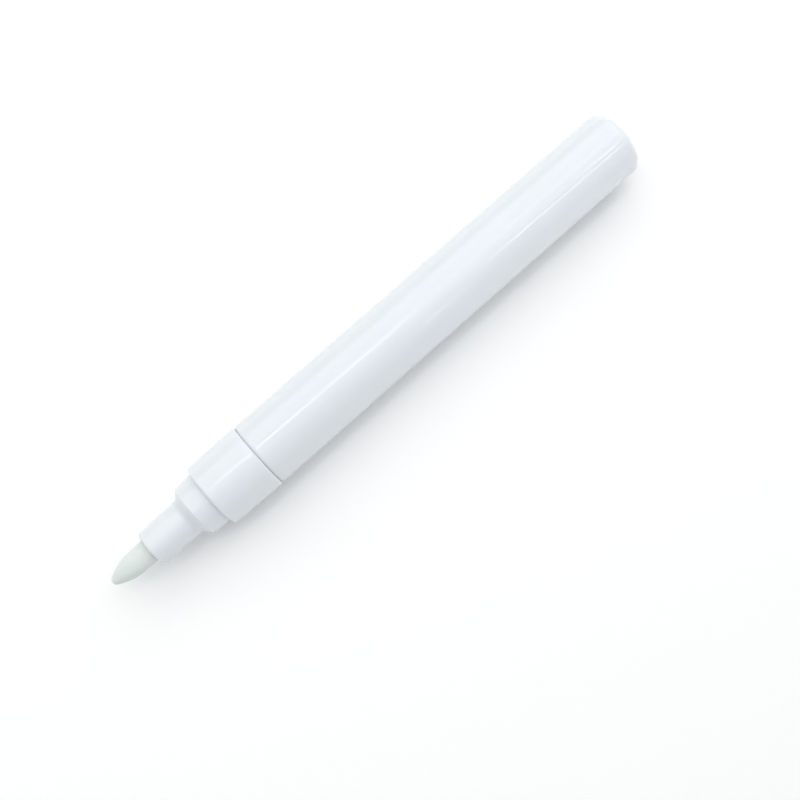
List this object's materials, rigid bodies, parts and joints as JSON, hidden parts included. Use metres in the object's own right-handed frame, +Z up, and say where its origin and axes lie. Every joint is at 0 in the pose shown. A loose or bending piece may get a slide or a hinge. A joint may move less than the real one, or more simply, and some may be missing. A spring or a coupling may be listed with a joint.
{
  "type": "counterfeit detector pen",
  "caption": "Uncapped counterfeit detector pen: plain round barrel, screwed-on front section with collar, cap seat and nose, and a bullet nib fed by a spring-closed pump valve.",
  "frame": {"origin": "centre of the bounding box at the surface that the pen lies on", "axes": "+Z up, +X along the pen from the nib to the closed rear end, +Y across it"},
  "size_m": [0.1388, 0.0152, 0.0152],
  "materials": {
    "barrel_plastic": "white injection-moulded polypropylene, glossy",
    "section_plastic": "white injection-moulded polypropylene, glossy",
    "seal_rubber": "black nitrile rubber, matte",
    "absorber_fibre": "white bonded fibre felt",
    "nib_fibre": "pale, slightly green bonded polyester fibre, unstained, matte",
    "housing_plastic": "natural polyethylene, milky",
    "seat_rubber": "brick-red silicone rubber",
    "stem_plastic": "natural acetal, satin",
    "spring_steel": "drawn stainless spring wire",
    "cage_plastic": "natural polyethylene, milky"
  },
  "bodies": {
    "barrel": {"barrel": "barrel_plastic"},
    "neck_seal": {"neck_seal": "seal_rubber"},
    "front_section": {"front_section": "section_plastic", "drip_absorber": "absorber_fibre", "valve_housing": "housing_plastic", "valve_seat_ring": "seat_rubber", "valve_spring": "spring_steel", "spring_cage": "cage_plastic"},
    "valve_stem": {"valve_stem": "stem_plastic"},
    "nib": {"nib": "nib_fibre"}
  },
  "joints": [
    {"name": "section_travel", "type": "slide", "parent": "barrel", "child": "neck_seal", "axis": [-1, 0, 0], "range_m": [0, 0.008]},
    {"name": "section_screw", "type": "hinge", "parent": "neck_seal", "child": "front_section", "pos_m": [-0.03125, 0, 0.0076], "axis": [-1, 0, 0], "range_deg": [0, 1440]},
    {"name": "valve_press", "type": "slide", "parent": "front_section", "child": "valve_stem", "axis": [1, 0, 0], "range_m": [0, 0.002], "stiffness_N_per_m": 400, "springref_m": -0.0025, "deforming": ["valve_spring"]},
    {"name": "nib_pull", "type": "slide", "parent": "valve_stem", "child": "nib", "axis": [-1, 0, 0], "range_m": [0, 0.02]}
  ],
  "couplings": [
    {"joint": "section_travel", "follows": "section_screw", "m_per_rad": 0.0003183}
  ]
}
